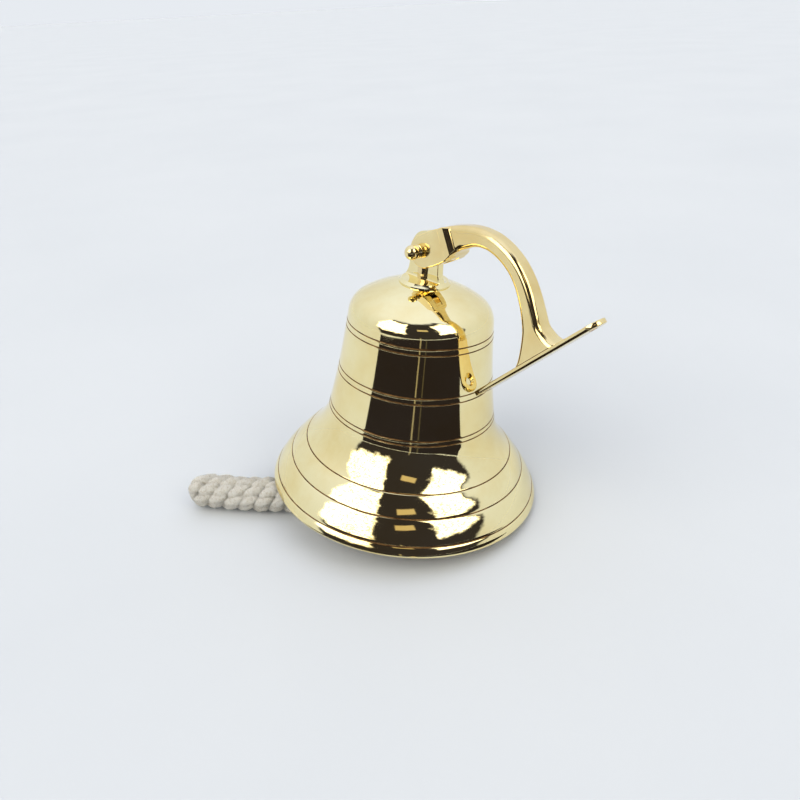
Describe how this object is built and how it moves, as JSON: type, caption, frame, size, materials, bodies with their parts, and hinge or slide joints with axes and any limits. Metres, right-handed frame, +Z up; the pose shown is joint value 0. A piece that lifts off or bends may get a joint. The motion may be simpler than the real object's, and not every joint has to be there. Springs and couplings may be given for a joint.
{
  "type": "ship bell",
  "caption": "Polished brass ship's bell on a folding gooseneck wall bracket, standing on its rim, with an inside clapper and a short thick braided bell rope.",
  "frame": {"origin": "on the surface the bell stands on, under the middle of the box of bell and bracket (rope left out)", "axes": "+Z up from the surface; -X the way the rope lies; +Y away from the front of the bell. The bell's own axis leans 7.6 degrees from +Z because the rope lies under its rim."},
  "size_m": [0.2145, 0.1498, 0.1573],
  "materials": {
    "polished_brass": "mirror polished",
    "turned_brass": "turned, satin",
    "cotton_rope": "braided cotton cord, matte"
  },
  "bodies": {
    "bell": {"bell_shell": "polished_brass", "crown_stem": "polished_brass", "eye_bolt": "turned_brass", "inner_washer": "turned_brass", "crown_nut": "turned_brass"},
    "bracket": {"bracket_arm": "polished_brass", "wall_plate": "polished_brass", "foot_screws": "turned_brass", "pivot_pin": "turned_brass", "pin_nut": "turned_brass"},
    "clapper": {"clapper_rod": "turned_brass", "clapper_ball": "turned_brass", "tail_eye": "turned_brass", "lanyard_becket": "cotton_rope"},
    "lanyard": {"lanyard_rope": "cotton_rope", "lanyard_knot": "cotton_rope", "lanyard_whipping": "cotton_rope"}
  },
  "joints": [
    {"name": "bracket_pivot", "type": "hinge", "parent": "bell", "child": "bracket", "pos_m": [0.00924, 0.00506, 0.14207], "axis": [-0.694, -0.7105, 0.1164], "range_deg": [0, 150]},
    {"name": "clapper_swing", "type": "hinge", "parent": "bell", "child": "clapper", "pos_m": [0.00435, 0.00359, 0.10391], "axis": [-0.2894, 0.9572, 0], "range_deg": [-21, 36], "deforming": ["lanyard_becket"]},
    {"name": "lanyard_drop", "type": "hinge", "parent": "bell", "child": "lanyard", "pos_m": [-0.01031, -0.01746, 0.00942], "axis": [0, -1, 0], "range_deg": [0, 85]}
  ]
}
